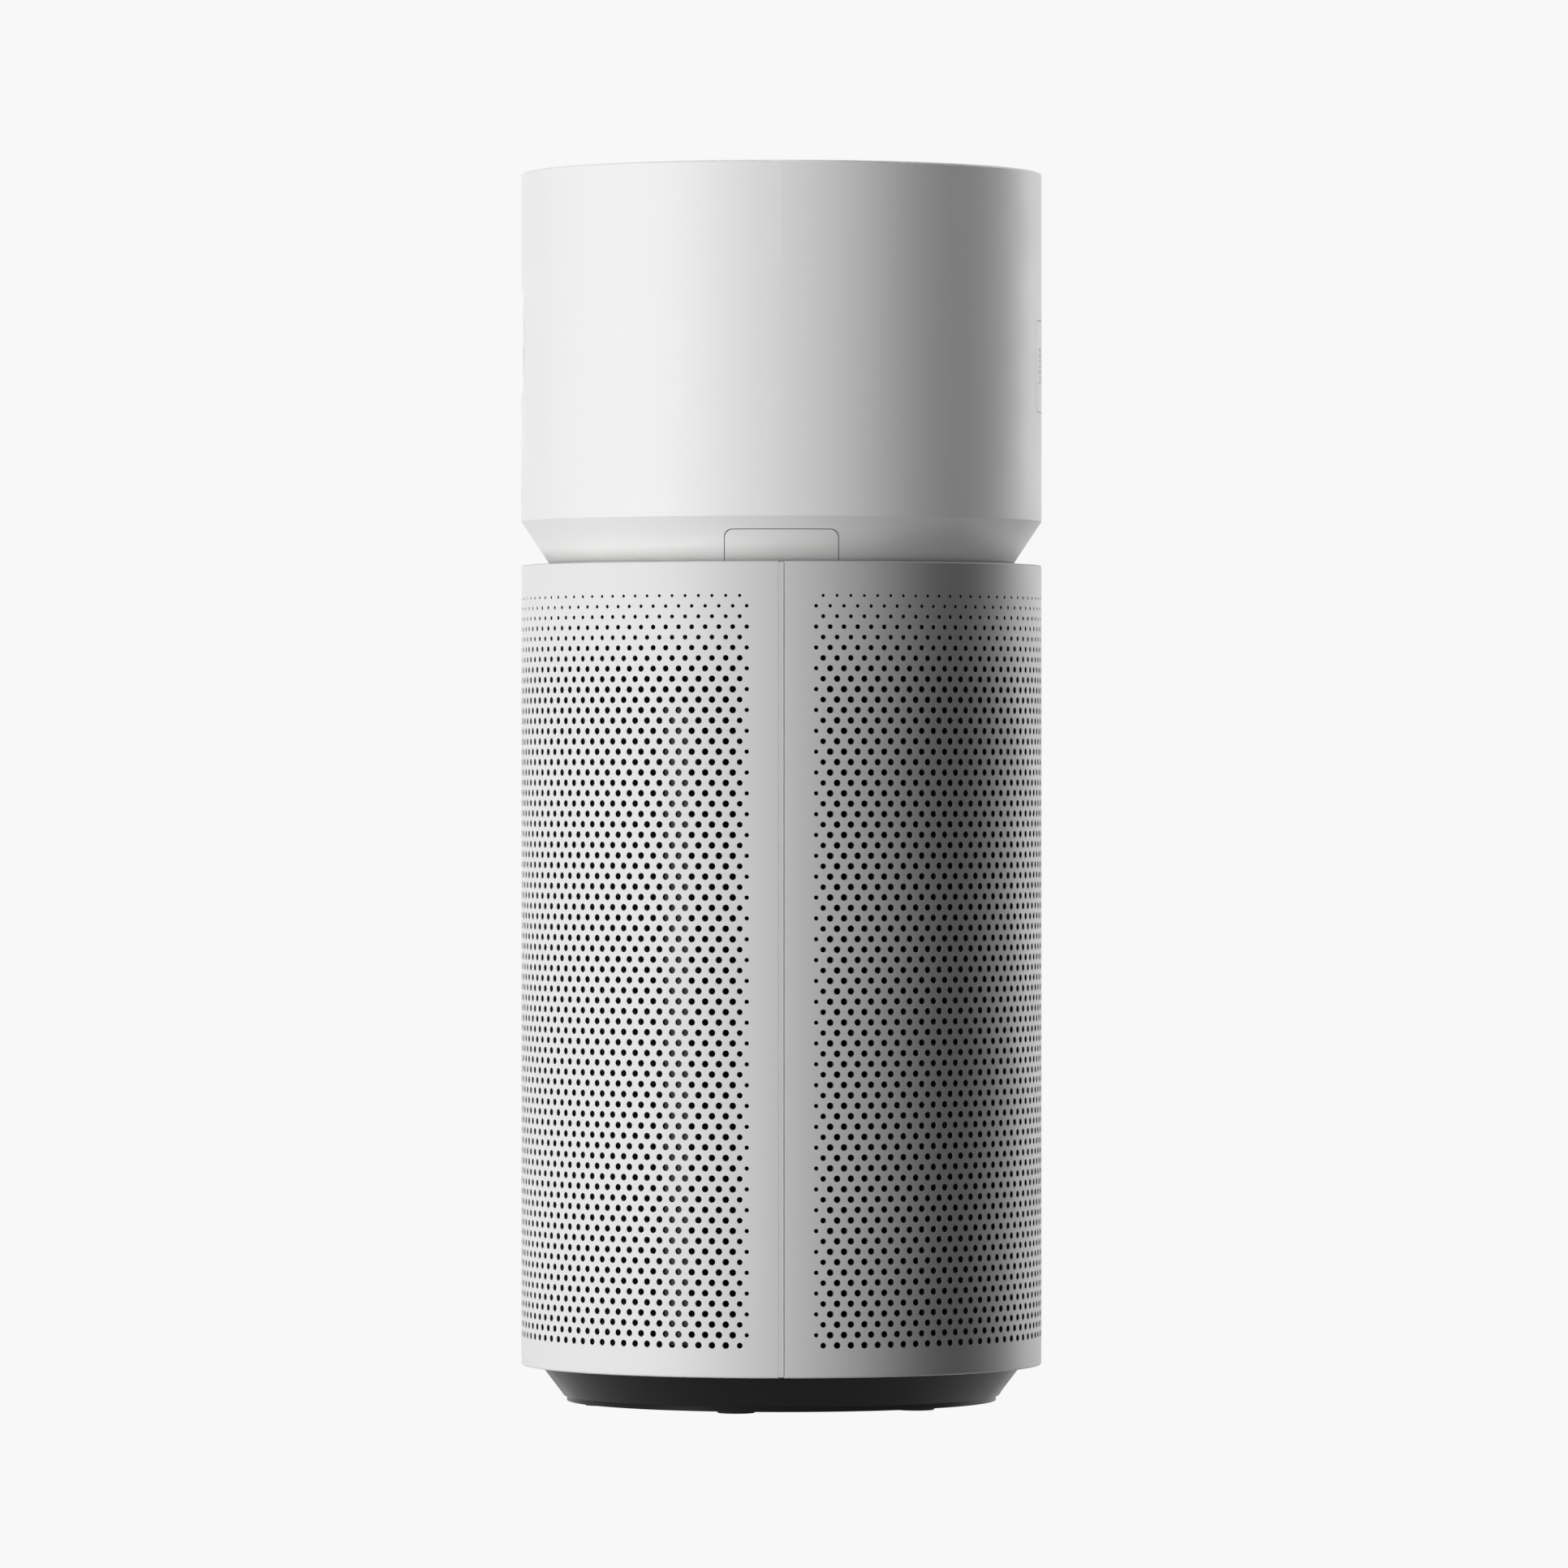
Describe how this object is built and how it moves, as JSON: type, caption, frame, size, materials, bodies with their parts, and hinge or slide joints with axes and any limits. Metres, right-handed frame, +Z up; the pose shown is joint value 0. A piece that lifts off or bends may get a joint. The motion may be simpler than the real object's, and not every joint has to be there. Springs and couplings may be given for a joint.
{
  "type": "air purifier",
  "caption": "Cylindrical tower air purifier: fan drum over a perforated intake drum with a ring filter, half covers that pull off, release buttons in a narrow waist, dished outlet on top.",
  "frame": {"origin": "centre of the footprint on the floor", "axes": "+Z up along the drum's axis, -Y towards the round display, +Y towards the sensor lid and power inlet, covers meet at +X and -X"},
  "size_m": [0.305, 0.305, 0.72],
  "materials": {
    "white_shell": "satin white moulded plastic",
    "white_cover": "satin white perforated plastic",
    "grille_white": "satin white moulded plastic",
    "base_black": "satin black moulded plastic",
    "inlet_black": "black moulded plastic",
    "inner_black": "fine-textured black moulded plastic",
    "fan_grey": "dark grey moulded plastic",
    "display_black": "clear gloss over black",
    "circuit_board": "solder resist",
    "steel": "bright",
    "magnet_nickel": "nickel plate",
    "foot_rubber": "matt",
    "filter_cap": "moulded black plastic",
    "filter_paper": "pleated fibre paper",
    "filter_mesh": "fine woven mesh",
    "filter_strip": "bonded tape",
    "gasket_foam": "closed-cell foam",
    "tab_webbing": "woven tape"
  },
  "bodies": {
    "housing": {"base_pan": "base_black", "base_plate": "base_black", "base_screws": "steel", "rubber_feet": "foot_rubber", "power_inlet": "inlet_black", "power_board": "circuit_board", "filter_deck": "inner_black", "frame_post_right": "inner_black", "frame_post_left": "inner_black", "post_magnets": "magnet_nickel", "interlock_switch": "inlet_black", "intake_deck": "inner_black", "intake_guard": "inner_black", "fan_duct": "fan_grey", "diffuser": "fan_grey", "motor_cap": "fan_grey", "motor_stator": "steel", "motor_bearings": "steel", "control_board": "circuit_board", "upper_shell": "white_shell", "outlet_ring": "white_shell", "outlet_grille": "grille_white", "grille_cap": "white_shell", "display_bezel": "white_shell", "display_glass": "display_black", "display_board": "circuit_board", "sensor_module": "inlet_black", "release_springs_right": "steel", "release_springs_left": "steel"},
    "fan": {"impeller": "fan_grey", "impeller_nut": "steel", "motor_shaft": "steel", "motor_rotor": "steel"},
    "front_cover": {"front_cover": "white_cover", "front_cover_magnets": "magnet_nickel"},
    "rear_cover": {"rear_cover": "white_cover", "rear_cover_magnets": "magnet_nickel"},
    "filter": {"filter_bottom_cap": "filter_cap", "filter_top_cap": "filter_cap", "filter_core": "filter_cap", "filter_media": "filter_paper", "filter_wrap": "filter_mesh", "filter_strip": "filter_strip", "filter_gasket": "gasket_foam", "filter_pull_tab": "tab_webbing"},
    "release_button_right": {"release_button_right": "white_shell"},
    "release_button_left": {"release_button_left": "white_shell"},
    "sensor_lid": {"sensor_lid": "white_shell"}
  },
  "joints": [
    {"name": "fan_spin", "type": "hinge", "parent": "housing", "child": "fan", "pos_m": [0, 0, 0.5], "axis": [0, 0, 1], "continuous": true},
    {"name": "front_cover_slide", "type": "slide", "parent": "housing", "child": "front_cover", "axis": [0, -1, 0], "range_m": [0, 0.5]},
    {"name": "filter_slide", "type": "slide", "parent": "housing", "child": "filter", "axis": [0, -1, 0], "range_m": [0, 0.3]},
    {"name": "rear_cover_slide", "type": "slide", "parent": "housing", "child": "rear_cover", "axis": [0, 1, 0], "range_m": [0, 0.3]},
    {"name": "release_press_right", "type": "slide", "parent": "housing", "child": "release_button_right", "axis": [-1, 0, 0], "range_m": [0, 0.004], "stiffness_N_per_m": 500, "springref_m": -0.005, "deforming": ["release_springs_right"]},
    {"name": "release_press_left", "type": "slide", "parent": "housing", "child": "release_button_left", "axis": [1, 0, 0], "range_m": [0, 0.004], "stiffness_N_per_m": 500, "springref_m": -0.005, "deforming": ["release_springs_left"]},
    {"name": "sensor_lid_pull", "type": "slide", "parent": "housing", "child": "sensor_lid", "axis": [0, 1, 0], "range_m": [0, 0.06]}
  ],
  "couplings": [
    {"joint": "filter_slide", "follows": "front_cover_slide", "ratio": 0.6}
  ]
}
